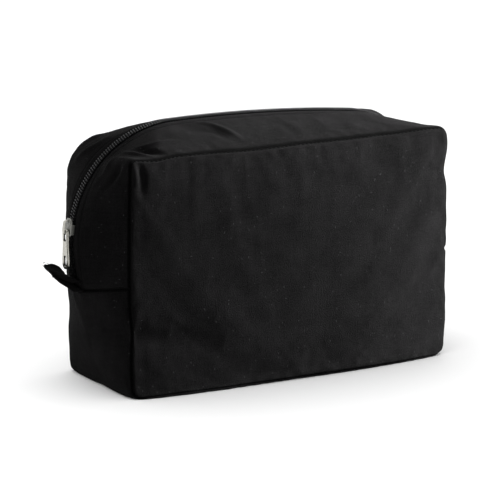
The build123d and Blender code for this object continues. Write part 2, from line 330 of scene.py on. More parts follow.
def soft_noise(points, wavelength, seed, waves=10):
    """Smooth noise through space, from -1 to 1 or so, the same in every run."""
    random = np.random.default_rng(seed)
    directions = unit(random.normal(size=(waves, 3)))
    scales = random.uniform(0.7, 1.4, waves)
    phases = random.uniform(0, 2 * np.pi, waves)
    total = np.zeros(points.shape[:-1])
    for direction, scale, phase in zip(directions, scales, phases):
        total += np.sin(points @ direction * (2 * np.pi * scale / wavelength) + phase)
    return total / math.sqrt(waves)


def stand(xz, y):
    """Points in space from points in the XZ plane and their y."""
    y = np.broadcast_to(y, xz.shape[:-1])
    return np.stack([xz[..., 0], y, xz[..., 1]], -1)


# How full the drawn panels are beside the CAD panel's bulge, and how flat left and right of their middle.
PANEL_FILL = 1.2
PANEL_FLATNESS = (1.35, 2.8)


def panel_surface(side, p, q):
    """A panel at shares p across and q up, from the seam's edge to its soft crown."""
    outline = OUTLINES[side]
    p, q = np.meshgrid(p, q, indexing="ij")
    bottom, top = outline.bottom.at(p), outline.top.at(p)
    left, right = outline.left.at(q), outline.right.at(q)
    p2, q2 = p[..., None], q[..., None]
    corners = (
        (1 - p2) * (1 - q2) * outline.bottom.points[0]
        + p2 * (1 - q2) * outline.bottom.points[-1]
        + (1 - p2) * q2 * outline.top.points[0]
        + p2 * q2 * outline.top.points[-1]
    )
    xz = (1 - q2) * bottom + q2 * top + (1 - p2) * left + p2 * right - corners
    up = crown(q**0.94, 3.0, 0.66)
    flatness = np.where(p < 0.5, *PANEL_FLATNESS)
    bulge = PANEL_FILL * PANEL_BULGE * crown(p, flatness, 0.85) * up
    bow = seam_bow(p) * (1 - up) * (1 - q) ** 2
    return stand(xz, side * (SEAM_Y + bulge + bow))


# How far a zip strip swells over the flat cloth between the seam and the zip: at the ends and over the top.
STRIP_SWELL = {-1: (2.6, 2.9), 1: (0.4, 3.5)}


def strip_surface(side, s, r):
    """A zip strip at shares s along the seam and r from the seam to the zip's folded edge."""
    seam_path = OUTLINES[side].upper
    s, r = np.meshgrid(s, r, indexing="ij")
    seam, edge = seam_path.at(s), ZIP.at(s)
    seam_out, edge_out = seam_path.normal(s, SEAM_REACH), ZIP.normal(s)
    outward = unit(seam_out * (1 - r[..., None]) + edge_out * r[..., None])
    over_top = np.clip(edge_out[..., 1], 0, 1)
    at_ends, at_top = STRIP_SWELL[side]
    swell = (at_ends * (1 - over_top) + at_top * over_top) * np.sin(np.pi * r**0.85)
    y = side * (SEAM_Y + (FOLD_Y - SEAM_Y) * r)
    return stand(seam + r[..., None] * (edge - seam) + outward * swell[..., None], y)


def lower_surface(t, c):
    """The lower gusset at shares t along it, and c from -1 at the front seam to 1 at the back seam."""
    t, c = np.meshgrid(t, c, indexing="ij")
    front, back = OUTLINES[-1], OUTLINES[1]
    behind = (c > 0)[..., None]
    seam = np.where(behind, back.lower.at(t), front.lower.at(t))
    out = -np.where(behind, back.lower.normal(t, SEAM_REACH), front.lower.normal(t, SEAM_REACH))
    middle = SOLE.at(t)
    lift = np.clip(seam[..., 1] / END_SEAM_Z, 0, 1)
    under = np.clip(-out[..., 1], 0, 1) ** 2
    from_seam = (1 - np.abs(c)) * SEAM_Y
    sharp = 1.25 + 7.0 * (1 - lift) ** 2.5
    drop = np.clip(from_seam / LIP_DROP, 0, 1)
    share = (1 - np.abs(c) ** sharp) * (1 - under) + smoothstep(drop) * under
    from_zip = np.clip((1 - np.abs(c)) / (1 - FOLD_Y / SEAM_Y), 0, 1)
    at_end_seam = np.clip(1 - (1 - lift) * 3.0, 0, 1)
    share = share * (1 - at_end_seam) + from_zip * at_end_seam
    at_ends = np.where(c > 0, STRIP_SWELL[1][0], STRIP_SWELL[-1][0])
    swell = at_ends * np.sin(np.pi * from_zip**0.85) * lift
    bows = [np.interp(t, outline.lower.shares, outline.lower_bow) for outline in (back, front)]
    bow = np.where(c > 0, *bows)
    lip = LIP * np.sin(np.pi * np.clip(from_seam / LIP_REACH, 0, 1)) * under
    y = c * (SEAM_Y + bow) + np.sign(c) * lip
    return stand(seam + (middle - seam) * share[..., None] + out * swell[..., None], y)


def outward_normals(points):
    """Unit normals of a grid of points, on the side that faces away from the bag's middle."""
    normals = np.cross(np.gradient(points, axis=0), np.gradient(points, axis=1))
    normals /= np.maximum(np.linalg.norm(normals, axis=-1, keepdims=True), 1e-9)
    if np.sum(normals * (points - np.asarray(BAG_MIDDLE))) < 0:
        normals = -normals
    return normals


# =============================================================== meshes


def new_object(name, data):
    piece = bpy.data.objects.new(name, data)
    bpy.context.scene.collection.objects.link(piece)
    return piece


def grid_quads(rows, columns, closed=False):
    """Corner numbers of the quads of a grid of points, whose last column meets its first where closed."""
    index = np.arange(rows * columns).reshape(rows, columns)
    if closed:
        index = np.concatenate([index, index[:, :1]], 1)
    return np.stack([index[:-1, :-1], index[1:, :-1], index[1:, 1:], index[:-1, 1:]], -1).reshape(-1, 4)


def tube_faces(rings, sides, first=0):
    """Faces of a tube of rings of points with flat ends, where its first point has the number first."""
    last = first + (rings - 1) * sides
    ends = [list(range(first, first + sides)), list(range(last + sides - 1, last - 1, -1))]
    return (grid_quads(rings, sides, closed=True) + first).tolist() + ends


def smooth_mesh(name, points, faces):
    mesh = bpy.data.meshes.new(name)
    mesh.from_pydata((np.asarray(points).reshape(-1, 3) * MM).tolist(), [], faces)
    mesh.polygons.foreach_set("use_smooth", np.ones(len(faces), bool))
    mesh.update()
    return mesh


def write_values(mesh, name, values, domain="POINT"):
    """Gives each point or face of a mesh a number that its material reads by name."""
    attribute = mesh.attributes.new(name, "FLOAT", domain)
    attribute.data.foreach_set("value", np.asarray(values, np.float32).reshape(-1))


def write_cloth_place(mesh, uv, corners):
    """Gives each face corner of a mesh its place on the flat cloth, in metres."""
    layer = mesh.uv_layers.new(name="cloth")
    layer.data.foreach_set("uv", (uv.reshape(-1, 2) * MM)[corners].reshape(-1))


def read_corners(mesh):
    """A mesh's points, in millimetres."""
    corners = np.empty(len(mesh.vertices) * 3)
    mesh.vertices.foreach_get("co", corners)
    return corners / MM


def grid_piece(name, points, cloth_u, cloth_v, worn=None):
    """A sheet of cloth from a grid of points, with their places on the flat cloth, their wear and the
    painted shade in its seams.
    """
    quads = grid_quads(*points.shape[:2])
    flat = points.reshape(-1, 3)
    a, b, c, d = (flat[quads[:, k]] for k in range(4))
    if np.sum(np.cross(c - a, d - b) * ((a + c) / 2 - np.asarray(BAG_MIDDLE))) < 0:
        quads = quads[:, ::-1]
    mesh = smooth_mesh(name, points, quads.tolist())
    write_cloth_place(mesh, np.stack(np.broadcast_arrays(cloth_u, cloth_v), -1), quads.reshape(-1))
    if worn is not None:
        write_values(mesh, "worn", worn)
    return new_object(name, mesh)


def thicken(piece, thickness):
    solid = piece.modifiers.new("thickness", "SOLIDIFY")
    solid.thickness = thickness * MM
    solid.offset = -1.0
    solid.use_rim = True
    return piece


def section(sides, wide_power=1.0, thick_power=1.0):
    """Points round a section, from -1 to 1 each way: an oval, or squarer where the powers are under 1."""
    turn = np.linspace(0, 2 * np.pi, sides, endpoint=False)
    return signed_power(np.cos(turn), wide_power), signed_power(np.sin(turn), thick_power)


def sweep_points(line, half_widths, half_heights, shape, out):
    """Rings of points round a line: a section with one axis as near as may be to out."""
    ahead = unit(np.gradient(line, axis=0))
    across = unit(np.cross(ahead, out))
    rise = np.cross(across, ahead)
    wide, thick = (values[None, :, None] for values in shape)
    half_widths, half_heights = (
        np.broadcast_to(halves, len(line))[:, None, None] for halves in (half_widths, half_heights)
    )
    ring = across[:, None] * wide * half_widths + rise[:, None] * thick * half_heights
    return line[:, None] + ring


def bar_mesh(name, line, half_width, half_height, shape, out):
    """A solid bar: a section carried along a line of points, with flat ends."""
    points = sweep_points(line, half_width, half_height, shape, out)
    return smooth_mesh(name, points, tube_faces(len(line), len(shape[0])))


def wire_mesh(name, line, radius, sides, out):
    return bar_mesh(name, line, radius, radius, section(sides), out)


STITCH_RINGS = 6
STITCH_SIDES = 6


def stitch_row(name, line, outward, stitch, depth, width=0.24, height=0.2):
    """A row of thread stitches along a line: each rises from the cloth, runs over it and goes back in."""
    lengths = running_lengths(line)
    length, pitch = stitch
    along = np.linspace(0, 1, STITCH_RINGS)
    from_middle = np.abs(2 * along - 1)
    swell = np.sqrt(np.clip(1 - from_middle**4, 0.05, 1))
    lift = depth * (1 - 2.2 * from_middle**3)
    points, faces = [], []
    for start in np.arange(pitch / 2, lengths[-1] - length, pitch):
        where = start + along * length
        out = unit(read_line(where, lengths, outward))
        place = read_line(where, lengths, line) + out * lift[:, None]
        rings = sweep_points(place, width * swell, height * swell, section(STITCH_SIDES), out)
        faces += tube_faces(STITCH_RINGS, STITCH_SIDES, len(points) * STITCH_RINGS * STITCH_SIDES)
        points.append(rings)
    return new_object(name, smooth_mesh(name, np.concatenate(points), faces))


def join(name, meshes):
    """One piece from several meshes."""
    whole = bmesh.new()
    for mesh in meshes:
        whole.from_mesh(mesh)
        bpy.data.meshes.remove(mesh)
    mesh = bpy.data.meshes.new(name)
    whole.to_mesh(mesh)
    whole.free()
    return new_object(name, mesh)


# =============================================================== cloth settled by simulation


def interpolation(shares, count):
    """Matrix that takes values at even shares to values at the shares given, smoothly."""
    where = np.clip(np.asarray(shares) * (count - 1), 0, count - 1)
    base = np.minimum(where.astype(int), count - 2)
    t = where - base
    weights = (
        -0.5 * t + t**2 - 0.5 * t**3,
        1 - 2.5 * t**2 + 1.5 * t**3,
        0.5 * t + 2 * t**2 - 1.5 * t**3,
        -0.5 * t**2 + 0.5 * t**3,
    )
    matrix = np.zeros((len(where), count))
    for offset, weight in zip((-1, 0, 1, 2), weights):
        column = np.clip(base + offset, 0, count - 1)
        np.add.at(matrix, (np.arange(len(where)), column), weight)
    return matrix


SETTLE_SPACING = 4.0
SETTLE_FRAMES = 24
SETTLE_SHARE = 0.15
SETTLE_CAP = 1.3

# A light cloth that bends easily, cut 2.2 % too large (a shrink under 0) and pressed from inside.
SETTLE_CLOTH = {
    "quality": 6,
    "mass": 0.02,
    "tension_stiffness": 8,
    "compression_stiffness": 8,
    "shear_stiffness": 3,
    "bending_stiffness": 0.02,
    "vertex_group_mass": "held",
    "shrink_min": -0.022,
    "use_pressure": True,
    "uniform_pressure_force": 0.35,
}


def settled(surface, rows, columns, length, width):
    """How a surface's cloth moves once stuffed: a share of a coarse simulation, held at its edges."""
    count = (int(length / SETTLE_SPACING) + 1, int(width / SETTLE_SPACING) + 1)
    start = surface(np.linspace(0, 1, count[0]), np.linspace(0, 1, count[1]))
    sheet = grid_piece("settling", start, start[..., 0], start[..., 2])
    edge = np.ones(count, bool)
    edge[1:-1, 1:-1] = False
    sheet.vertex_groups.new(name="held").add(np.flatnonzero(edge).tolist(), 1.0, "REPLACE")
    cloth = sheet.modifiers.new("cloth", "CLOTH")
    for setting, value in SETTLE_CLOTH.items():
        setattr(cloth.settings, setting, value)
    cloth.collision_settings.use_collision = False
    cloth.point_cache.frame_start = 1
    cloth.point_cache.frame_end = SETTLE_FRAMES
    scene = bpy.context.scene
    for moment in range(1, SETTLE_FRAMES + 1):
        scene.frame_set(moment)
    mesh = sheet.evaluated_get(bpy.context.evaluated_depsgraph_get()).data
    moved = read_corners(mesh).reshape(start.shape) - start
    moved *= SETTLE_SHARE
    how_far = np.linalg.norm(moved, axis=-1, keepdims=True)
    moved *= SETTLE_CAP / np.maximum(how_far, SETTLE_CAP)
    sheet_mesh = sheet.data
    bpy.data.objects.remove(sheet)
    bpy.data.meshes.remove(sheet_mesh)
    scene.frame_set(1)
    by_row = np.einsum("ab,bcd->acd", interpolation(rows, count[0]), moved)
    return np.einsum("ab,cbd->cad", interpolation(columns, count[1]), by_row)


# =============================================================== cloth panels


def roll_in(points, distance, inward):
    """Cloth edge turned into its seam: it dips along inward as the distance from the seam goes to 0."""
    dip = GROOVE_DEPTH * np.exp(-((distance / GROOVE_WIDTH) ** 1.5))
    return points + inward * dip[..., None]


def distance_to_line(points, line):
    """How far each point is from a line of points, and the share of its length where it is nearest."""
    starts = running_lengths(line)
    best = np.full(points.shape[:-1], np.inf)
    share = np.zeros(points.shape[:-1])
    for a, b, start in zip(line, line[1:], starts):
        length = np.linalg.norm(b - a)
        t = np.clip((points - a) @ (b - a) / length**2, 0, 1)
        distance = np.linalg.norm(points - (a + t[..., None] * (b - a)), axis=-1)
        nearer = distance < best
        best = np.where(nearer, distance, best)
        share = np.where(nearer, (start + t * length) / starts[-1], share)
    return best, share


def smooth_line(points, count=24):
    """A curve through a few points, by Catmull-Rom."""
    points = np.asarray(points, float)
    if len(points) == 2:
        return points
    padded = np.concatenate([[2 * points[0] - points[1]], points, [2 * points[-1] - points[-2]]])
    result = []
    for k in range(1, len(padded) - 2):
        a, b, c, d = padded[k - 1 : k + 3]
        for t in np.linspace(0, 1, count // (len(points) - 1), endpoint=False):
            squared, cubed = (2 * a - 5 * b + 4 * c - d) * t**2, (3 * b - a - 3 * c + d) * t**3
            result.append(0.5 * (2 * b + (c - a) * t + squared + cubed))
    return np.array([*result, points[-1]])


# Folds and hollows that the stuffed bag holds: a line on the cloth, height in millimetres, and half width.
FOLDS = (
    # beside the front seam's top left corner
    (((-115, -44, 158), (-112, -45, 145), (-112, -46, 132)), -2.0, 2.4),
    (((-108, -45, 153), (-101, -47, 138)), 0.4, 4.5),
    (((-117, -45, 153), (-116, -46, 138)), 0.8, 1.8),
    # over the zip strip above that corner
    (((-112, -18, 156), (-109, -34, 157), (-101, -43, 155)), 1.5, 1.9),
    (((-107, -25, 159), (-100, -34, 158), (-92, -42, 155)), -2.6, 2.7),
    (((-106, -22, 159), (-94, -28, 162), (-79, -29, 164)), 1.6, 1.9),
    # down the left end of the strip
    (((-115, -36, 156), (-124, -33, 146), (-130, -22, 132)), -2.4, 2.7),
    (((-119, -41, 154), (-123, -38, 147), (-125, -32, 139)), 0.9, 2.0),
    (((-112, -21, 157), (-124, -22, 149), (-132, -11, 134)), 1.3, 2.3),
    (((-123, 29, 143), (-114, 18, 156), (-102, 16, 161)), 1.5, 2.8),
    (((-113, 32, 153), (-101, 27, 160)), -1.4, 3.5),
    # over the top
    (((-67, -10, 170), (-48, -14, 170), (-32, -39, 160)), 1.3, 2.6),
    (((-66, -18, 169), (-50, -25, 167), (-43, -36, 162)), -1.2, 4.5),
    (((12, -20, 167), (9, -42, 158)), 0.8, 5.0),
    (((49, -26, 164), (56, -40, 159)), 0.8, 5.0),
    # a dent across the left end and the front panel
    (((-128, 8, 35), (-121, -42, 42), (-100, -50, 38), (-74, -52, 33)), -1.9, 5.6),
    (((-96, -51, 41), (-56, -53, 33)), -1.5, 8.5),
    (((-124, -30, 52), (-118, -44, 54), (-104, -49, 50)), 0.6, 6.0),
)


def shape_folds(points, normals, fade):
    """Moves the cloth out along its folds' ridges and in along their hollows."""
    moved = points.copy()
    for line, height, width in FOLDS:
        distance, share = distance_to_line(points, smooth_line(line))
        taper = np.sin(np.pi * np.clip(share, 0.02, 0.98)) ** 0.7
        moved += normals * (height * taper * bump(distance, 0, width) * fade)[..., None]
    return moved


def finish_cloth(points, distance, inward, held=1.0):
    """Adds folds, the slack of the cloth and the roll at the seams to a piece's smooth surface."""
    normals = outward_normals(points)
    fade = (1 - bump(distance, 0, HELD_REACH)) * held
    points = shape_folds(points, normals, fade)
    slack = 0.3 * soft_noise(points, 120, 3) + 0.05 * soft_noise(points, 23, 5)
    pucker = 0.22 * soft_noise(points, 8.5, 8) * bump(distance, 0, 7.0)
    points = points + normals * ((slack + pucker) * fade)[..., None]
    return roll_in(points, distance, inward)


def seam_shade_and_wear(distance, shade_reach=1.25):
    """How worn the cloth is, most on the rolled edge beside a seam; under 0 down in the seam, where it is
    painted shade in the groove.
    """
    return 0.35 * bump(distance, 1.9, 0.9) - 1.7 * bump(distance, 0.0, shade_reach)


def inward_at_seam(side, outward):
    """The way into a seam: halfway between straight into the panel and straight into the gusset."""
    return stand(-outward, -side) / math.sqrt(2)


def make_panel(name, side):
    outline = OUTLINES[side]
    points = panel_surface(side, ACROSS, UP)
    points += settled(lambda p, q: panel_surface(side, p, q), ACROSS, UP, 2 * HALF_W, HEIGHT)
    across, up = np.meshgrid(ACROSS, UP, indexing="ij")
    u, v = across * outline.top.length, up * outline.left.length
    to_sides = (u, (1 - across) * outline.top.length, v, (1 - up) * outline.left.length)
    outs = (
        outline.left.normal(up, SEAM_REACH),
        -outline.right.normal(up, SEAM_REACH),
        -outline.bottom.normal(across, SEAM_REACH),
        outline.top.normal(across, SEAM_REACH),
    )
    near = [out / np.maximum(to_side, 0.2)[..., None] ** 2 for to_side, out in zip(to_sides, outs)]
    distance = np.minimum.reduce(to_sides)
    points = finish_cloth(points, distance, inward_at_seam(side, unit(sum(near))))
    return grid_piece(name, points, u, v, seam_shade_and_wear(distance))


STRIP_WIDTH = 41.0


def folded_edge(side, s):
    """The strip's edge beside the zip, folded under: columns of points that follow the strip's last one."""
    edge, out = ZIP.at(s), ZIP.normal(s)
    turn = np.linspace(math.pi / 2, -math.pi / 2, 8)[1:]
    steps = [(-FOLD_RADIUS * math.cos(a), FOLD_RADIUS * (math.sin(a) - 1)) for a in turn]
    steps.append((2.5, -2 * FOLD_RADIUS - 0.2))
    columns = [stand(edge + out * dw, side * (FOLD_Y + dy)) for dy, dw in steps]
    return np.stack(columns, 1)


def make_strip(name, side):
    """A zip strip, and the line of its topstitching with the way out of the cloth along it."""
    seam_path = OUTLINES[side].upper
    s = seam_path.shares
    r = spaced(STRIP_WIDTH, ROLL, AT_FOLD)
    points = strip_surface(side, s, r)
    points += settled(lambda a, b: strip_surface(side, a, b), s, r, seam_path.length, STRIP_WIDTH)
    along, across = np.meshgrid(s * seam_path.length, r * STRIP_WIDTH, indexing="ij")
    to_end = np.minimum(along, seam_path.length - along)
    to_fold = STRIP_WIDTH - across
    outward = seam_path.normal(np.broadcast_to(s[:, None], points.shape[:2]), SEAM_REACH)
    into_end = stand(-outward, 0.0)
    inward = np.where((to_end < across)[..., None], into_end, inward_at_seam(side, outward))
    distance = np.minimum(across, to_end)
    points = finish_cloth(points, distance, inward, 1 - bump(to_fold, 0, 5.0))
    # The cloth is pressed in under the topstitching and stands a little proud beside it.
    pressed = -0.38 * bump(to_fold, TOPSTITCH_REACH, 0.75) + 0.3 * bump(to_fold, 2.3, 1.3)
    pressed *= 1 - bump(to_end, 0, HELD_REACH)
    points += outward_normals(points) * pressed[..., None]
    row = int(np.argmin(np.abs(to_fold[0] - TOPSTITCH_REACH)))
    rows = (points[:, row], outward_normals(points)[:, row])
    extra = folded_edge(side, s)
    points = np.concatenate([points, extra], 1)
    steps = np.arange(1, extra.shape[1] + 1) * 0.2
    across = np.concatenate([across, across[:, -1:] + steps], 1)
    along = np.broadcast_to(along[:, :1], across.shape)
    # The painted seam shade reaches further along the top, where the strip's wall rises from its seam; the
    # cloth is lighter along its folded edge.
    shade_reach = 1.25 + 1.0 * np.clip(outward[..., 1], 0, 1)
    worn = seam_shade_and_wear(distance, shade_reach) + 0.8 * bump(to_fold, 0.3, 1.0)
    worn = np.concatenate([worn, np.zeros(extra.shape[:2])], 1)
    return grid_piece(name, points, along, across, worn), rows


def make_lower(name):
    path = OUTLINES[-1].lower
    c = spaced(2 * SEAM_Y, ROLL, ROLL) * 2 - 1
    points = lower_surface(path.shares, c)
    shares = (path.shares, (c + 1) / 2)
    points += settled(lambda a, b: lower_surface(a, b * 2 - 1), *shares, path.length, 2 * SEAM_Y)
    along, across = np.meshgrid(path.shares * path.length, c * SEAM_Y, indexing="ij")
    to_end = np.minimum(along, path.length - along)
    to_seam = SEAM_Y - np.abs(across)
    distance = np.minimum(to_seam, to_end)
    outward = -path.normal(np.broadcast_to(path.shares[:, None], points.shape[:2]), SEAM_REACH)
    into_seam = inward_at_seam(1, outward)
    into_seam[..., 1] = -np.sign(across) / math.sqrt(2)
    inward = np.where((to_end < to_seam)[..., None], stand(-outward, 0.0), into_seam)
    points = finish_cloth(points, distance, inward)
    points[..., 2] = np.maximum(points[..., 2], FLOOR_GAP)
    return grid_piece(name, points, along, across, seam_shade_and_wear(distance))


# =============================================================== bindings inside the bag


BINDING = 0.3
ALLOWANCE = 10.0
BINDING_INSET = 5.0
SEAM_BINDING_GAP = 1.1
END_BINDING_GAP = 1.2
END_BINDING_HALF = 32.0

# One half of a folded tape's section: how far past the raw edge, and how far to one side as a share.
FOLDED_HALF = ((-4.6, 1.0), (-3.2, 1.05), (-1.6, 1.1), (-0.5, 1.05), (0.1, 0.9), (0.35, 0.5))
FOLDED_MIDDLE = (0.45, 0.0)


def folded_tape(name, raw_edge, into, across, half_gap):
    """Tape folded over a raw edge: along one side of it, round it and back along the other side."""
    half = np.array(FOLDED_HALF)
    reach, gap = np.concatenate([half, [FOLDED_MIDDLE], half[::-1] * (1, -1)]).T
    reach = reach + 0.25 * soft_noise(raw_edge, 13.0, 31)[:, None]
    aside = across[:, None] * (half_gap * gap)[:, None]
    points = raw_edge[:, None] + into[:, None] * reach[..., None] + aside
    return grid_piece(name, points, running_lengths(raw_edge)[:, None], np.arange(len(gap)) * 0.9)


def make_seam_binding(name, side):
    """Tape over the raw edges of a panel's seam, which stand into the bag."""
    outline = OUTLINES[side]
    middle = np.array([0.0, HEIGHT / 2])
    edge = middle + (outline.loop - middle) * (1 - ALLOWANCE / (HEIGHT / 2)) ** np.array([0.45, 1.0])
    into = stand(-outline.loop_out, 0.0)
    across = np.broadcast_to((0.0, 1.0, 0.0), into.shape)
    return folded_tape(name, stand(edge, side * (SEAM_Y - BINDING_INSET)), into, across, SEAM_BINDING_GAP)


def make_end_binding(name, end):
    """Tape over the raw edges of an end seam."""
    y = np.linspace(-END_BINDING_HALF, END_BINDING_HALF, 60)
    foot = ZIP.points[0] if end < 0 else ZIP.points[-1]
    x = foot[0] - end * (ALLOWANCE - 0.5) - end * (abs(foot[0]) - HALF_W) * np.abs(y) / SEAM_Y
    edge = np.stack([x, y, np.full(len(y), foot[1])], -1)
    into = np.broadcast_to((-float(end), 0.0, 0.0), edge.shape)
    across = np.broadcast_to((0.0, 0.0, 1.0), edge.shape)
    return folded_tape(name, edge, into, across, END_BINDING_GAP)


# =============================================================== zip


def zip_shares(foot_z, step):
    """Shares of the zip's length at even steps between its two ends, which stand at foot_z."""
    heights = ZIP.points[:, 1]
    half = len(heights) // 2
    first = np.interp(foot_z, heights[:half], ZIP.shares[:half])
    last = np.interp(foot_z, heights[half:][::-1], ZIP.shares[half:][::-1])
    return np.linspace(first, last, int((last - first) * ZIP.length / step))


def in_zip(share, y, w):
    """Points in space at a share of the zip's length, y across it and w out from it."""
    return stand(ZIP.at(share) + ZIP.normal(share) * np.asarray(w)[..., None], y)


RINGS_PER_LOOP = 14
WIRE_SIDES = 8
# The coil's painted highlight: how far up it fades in, and how far out from the zip's line it begins on the
# loops' tops and how far until it is full.
PAINTED_HIGHLIGHT_FADE = 12.0
PAINTED_HIGHLIGHT_FROM_W = 0.62
PAINTED_HIGHLIGHT_DEPTH = 0.5
CORD_RADIUS = 0.32
CORD_SHIFT = 0.35
CORD_W = 0.1
THREAD_RADIUS = 0.13
THREAD_Y = 2.2


def make_coil(name, side):
    """One side's nylon coil: a wire bent into flat slanting loops, with a cord through them."""
    ends = zip_shares(COIL_FOOT_Z, PITCH)
    first, last = ends[0], ends[-1]
    turns = int((last - first) * ZIP.length / PITCH) - 1
    angle = np.arange(turns * RINGS_PER_LOOP) * (2 * np.pi / RINGS_PER_LOOP)
    along = PITCH * (angle / (2 * np.pi) + 1)
    middle_y, half_y = (COIL_BACK_Y + COIL_HEAD_Y) / 2, (COIL_BACK_Y - COIL_HEAD_Y) / 2 - WIRE_RADIUS
    y = middle_y + half_y * signed_power(np.cos(angle), 0.8)
    w = COIL_MIDDLE_W - side * COIL_RISE * np.sin(angle)
    share = first + along / ZIP.length
    line = in_zip(share, side * y, w)
    coil = wire_mesh(name, line, WIRE_RADIUS, WIRE_SIDES, COIL_LEAN)
    offset = read_corners(coil).reshape(len(line), WIRE_SIDES, 3) - line[:, None]
    height = w[:, None] + np.einsum("abc,ac->ab", offset, stand(ZIP.normal(share), 0.0))
    # Painted highlight: a lighter colour on the tops of the loops above the slider, standing in for light
    # on them.
    painted_highlight_reach = np.clip((line[:, 2] - PAINTED_HIGHLIGHT_ABOVE_Z) / PAINTED_HIGHLIGHT_FADE, 0, 1)[:, None]
    write_values(coil, "worn", painted_highlight_reach * np.clip((height - PAINTED_HIGHLIGHT_FROM_W) / PAINTED_HIGHLIGHT_DEPTH, 0, 1))
    cord_share = zip_shares(COIL_FOOT_Z + 1, 2.0)
    cord = in_zip(cord_share, side * (middle_y + CORD_SHIFT), np.full(len(cord_share), CORD_W))
    return join(name, [coil, wire_mesh(name + "_core", cord, CORD_RADIUS, 6, (0.0, 1.0, 0.0))])


# The zip tape's section: y across the zip, w out from its line.
TAPE_SECTION = (
    (0.62, TAPE_W),
    (1.6, TAPE_W),
    (2.6, TAPE_W),
    (3.4, -0.82),
    (4.2, -0.85),
    (5.0, -0.92),
    (TAPE_EDGE_Y, -1.15),
)


def make_tape(name, side):
    """The woven tape, from beside the zip's middle to under the strip's folded edge."""
    y, w = np.array(TAPE_SECTION).T
    shares, ys = np.meshgrid(zip_shares(TAPE_FOOT_Z, 1.6), y, indexing="ij")
    points = in_zip(shares, side * ys, np.broadcast_to(w, shares.shape))
    return grid_piece(name, points, shares * ZIP.length, ys)


def make_coil_thread(name, side):
    """The chain of thread that sews a coil to its tape: it crosses each loop of the coil."""
    share = zip_shares(COIL_FOOT_Z + 2, PITCH / 6)
    turn = 2 * np.pi * (share - share[0]) * ZIP.length / PITCH
    y = side * (THREAD_Y + 0.16 * np.sin(turn))
    w = COIL_MIDDLE_W + COIL_RISE + 0.26 + 0.12 * np.cos(turn)
    return new_object(name, wire_mesh(name, in_zip(share, y, w), THREAD_RADIUS, 5, COIL_LEAN))


# =============================================================== metal pieces


def slider_point(points):
    """Points in space from points of the slider's frame: u up the zip, y across it, w out of the bag."""
    points = np.asarray(points, float)
    u, y, w = points[..., 0], points[..., 1], points[..., 2]
    sin, cos = math.sin(SLIDER_ANGLE), math.cos(SLIDER_ANGLE)
    x = LEFT_CENTRE[0] - CORNER_RADIUS * cos + u * sin - w * cos
    z = LEFT_CENTRE[1] + CORNER_RADIUS * sin + u * cos + w * sin
    return np.stack([x, y, z], -1)


# The cap's line from end to end: u up the zip and w out of the bag.
CAP_LINE = (
    (-4.3, 2.3),
    (-4.3, 3.6),
    (-3.9, 4.8),
    (-2.9, 5.3),
    (0, 5.36),
    (2.7, 5.3),
    (3.7, 4.8),
    (4.1, 3.6),
    (4.1, 2.3),
)
CAP_HALF_WIDTH = 1.58
CAP_NARROWING = 0.34
CAP_HALF_THICKNESS = 0.34


def make_crown(name):
    """The slider's cap: a stamped bridge that holds the puller's pin, over the lock spring."""
    u, w = smooth_line(CAP_LINE, 80).T
    line = slider_point(np.stack([u, np.zeros(len(u)), w], -1))
    half_width = CAP_HALF_WIDTH - CAP_NARROWING * np.abs(u / CAP_LINE[0][0]) ** 3
    out = unit(line - slider_point([0.0, 0.0, 0.5]))
    shape = section(20, 0.55, 0.55)
    return new_object(name, bar_mesh(name, line, half_width, CAP_HALF_THICKNESS, shape, out))


def stamped(name, outlines, thickness, bevel):
    """A flat plate with rounded edges, lying in its own plane: its outline first, then its holes."""
    curve = bpy.data.curves.new(name, "CURVE")
    curve.dimensions = "2D"
    curve.fill_mode = "BOTH"
    curve.extrude = (thickness / 2 - bevel) * MM
    curve.bevel_depth = bevel * MM
    curve.bevel_resolution = 3
    curve.offset = -bevel * MM
    for outline in outlines:
        spline = curve.splines.new("POLY")
        spline.points.add(len(outline) - 1)
        spline.points.foreach_set("co", [c for x, y in outline for c in (x * MM, y * MM, 0.0, 1.0)])
        spline.use_cyclic_u = True
    holder = bpy.data.objects.new(name, curve)
    mesh = bpy.data.meshes.new_from_object(holder)
    bpy.data.objects.remove(holder)
    bpy.data.curves.remove(curve)
    mesh.polygons.foreach_set("use_smooth", np.ones(len(mesh.polygons), bool))
    return mesh


def oval(centre_x, length, width, power):
    """Outline of a hole: an oval, or a rounded slot where its power is well under 1."""
    x, y = section(36, power, power)
    return list(zip(centre_x + length / 2 * x, width / 2 * y))


PULLER_THICKNESS = 1.4
PULLER_BEVEL = 0.42
PULLER_HEAD = 2.8
PULLER_WAIST = 0.25
PULLER_FOOT = 3.4
PIN_RADIUS = 0.74
PIN_HALF_LENGTH = 2.75

# The slot round the cap and the hole near the foot: middle, length, width and how round.
SLOT = (4.05, 6.3, 3.4, 0.6)
HOLE = (20.2, 6.6, 3.2, 0.8)

# Where the walls of the slot and the hole lie, which get painted shade: from, to and half width, down the
# puller.
PUNCHED_WALLS = ((0.95, 7.3, 1.72), (16.85, 23.55, 1.62))


def puller_outline(length):
    """The puller's outline: x down it from the pin, y across it."""
    down = np.linspace(0, 1, 40)
    spread = (PULLER_FOOT - PULLER_HEAD) * np.clip((down - 0.45) / 0.4, 0, 1) ** 1.3
    half_width = PULLER_HEAD - PULLER_WAIST * bump(down, 0.42, 0.2) + spread
    turn = np.linspace(0, math.pi / 2, 14)
    edge = [(0.0, 0.0), (0.0, PULLER_HEAD - 1.1)]
    edge += [(0.2 + 0.8 * (1 - math.cos(a)), PULLER_HEAD - 1.0 + math.sin(a)) for a in turn[:-1]]
    edge += list(zip(1.0 + down * (length - PULLER_FOOT - 1.0), half_width))
    edge += [(length - PULLER_FOOT * (1 - math.sin(a)), PULLER_FOOT * math.cos(a)) for a in turn[1:]]
    return edge + [(x, -y) for x, y in reversed(edge[1:-1])]


